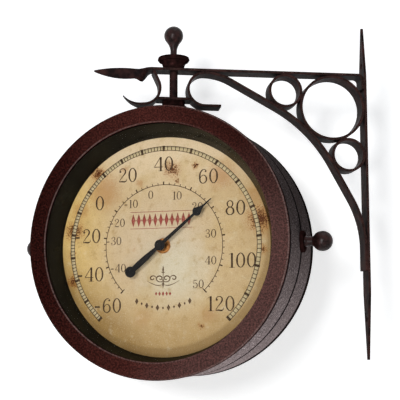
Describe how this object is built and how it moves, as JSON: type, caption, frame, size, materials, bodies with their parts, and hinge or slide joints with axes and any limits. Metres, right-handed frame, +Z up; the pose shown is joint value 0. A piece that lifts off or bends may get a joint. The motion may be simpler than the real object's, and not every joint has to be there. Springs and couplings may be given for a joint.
{
  "type": "wall clock with thermometer",
  "caption": "Round double-sided drum with a dial thermometer in front and a clock behind, hung on a swivelling rod from a scrolled flat-strap wall bracket.",
  "frame": {"origin": "on the wall plane, midway between the two wall screw holes", "axes": "+X into the wall, so the drum hangs towards -X; +Z up; -Y towards the viewer of the thermometer side when the drum is turned square to the bracket"},
  "size_m": [0.3303, 0.1974, 0.3445],
  "materials": {
    "bracket_black": "worn satin",
    "drum_charcoal": "fine-grained satin",
    "bezel_plum": "mottled leather-grain satin",
    "reveal_black": "glossy",
    "lens_glass": "clear",
    "dial_cream": "aged matt print",
    "hands_black": "satin",
    "knob_brown": "worn gloss",
    "steel_bright": "plated",
    "brass": "dull",
    "works_black": "matt",
    "cell_sleeve": "printed sleeve",
    "seal_rubber": "matt"
  },
  "bodies": {
    "bracket": {"wall_plate": "bracket_black", "top_arm": "bracket_black", "brace_strap": "bracket_black", "left_scroll": "bracket_black", "cross_plate": "bracket_black", "big_ring": "bracket_black", "upper_small_ring": "bracket_black", "lower_small_ring": "bracket_black"},
    "drum": {"pivot_rod": "bracket_black", "finial_cup": "knob_brown", "top_finial": "knob_brown", "top_boss": "knob_brown", "rod_washer": "steel_bright", "rod_nut": "steel_bright", "seam_band": "drum_charcoal", "front_shell": "drum_charcoal", "rear_shell": "drum_charcoal", "front_bezel": "bezel_plum", "rear_bezel": "bezel_plum", "front_reveal": "reveal_black", "rear_reveal": "reveal_black", "front_lens": "lens_glass", "rear_lens": "lens_glass", "thermometer_dial": "dial_cream", "clock_dial": "dial_cream", "dial_spacers": "works_black", "left_knob": "knob_brown", "right_knob": "knob_brown", "left_knob_flange": "knob_brown", "right_knob_flange": "knob_brown", "knob_nuts": "steel_bright", "dial_bushing": "brass", "bimetal_coil": "brass", "coil_post": "steel_bright", "coil_bridge": "steel_bright", "movement_case": "works_black", "movement_lid": "works_black", "movement_post": "brass", "movement_washer": "seal_rubber", "movement_nut": "brass", "battery": "cell_sleeve", "battery_contacts": "steel_bright"},
    "pointer": {"thermometer_pointer": "hands_black", "pointer_shaft": "steel_bright"},
    "minute": {"minute_hand": "hands_black", "hand_nut": "brass"},
    "hour": {"hour_hand": "hands_black"},
    "wheel": {"setting_wheel": "works_black"}
  },
  "joints": [
    {"name": "drum_swivel", "type": "hinge", "parent": "bracket", "child": "drum", "pos_m": [-0.1905, 0, 0], "axis": [0, 0, 1], "continuous": true},
    {"name": "thermometer_pointer", "type": "hinge", "parent": "drum", "child": "pointer", "pos_m": [-0.1905, 0, -0.0585], "axis": [0.4226, 0.9063, 0], "range_deg": [-186, 88], "stiffness_Nm_per_rad": 0.002},
    {"name": "minute_hand", "type": "hinge", "parent": "drum", "child": "minute", "pos_m": [-0.1905, 0, -0.0585], "axis": [-0.4226, -0.9063, 0], "continuous": true},
    {"name": "hour_hand", "type": "hinge", "parent": "drum", "child": "hour", "pos_m": [-0.1905, 0, -0.0585], "axis": [-0.4226, -0.9063, 0], "continuous": true},
    {"name": "setting_wheel", "type": "hinge", "parent": "drum", "child": "wheel", "pos_m": [-0.1905, 0, -0.0585], "axis": [-0.4226, -0.9063, 0], "continuous": true}
  ],
  "couplings": [
    {"joint": "hour_hand", "follows": "minute_hand", "ratio": 0.083333},
    {"joint": "setting_wheel", "follows": "minute_hand", "ratio": 1}
  ]
}
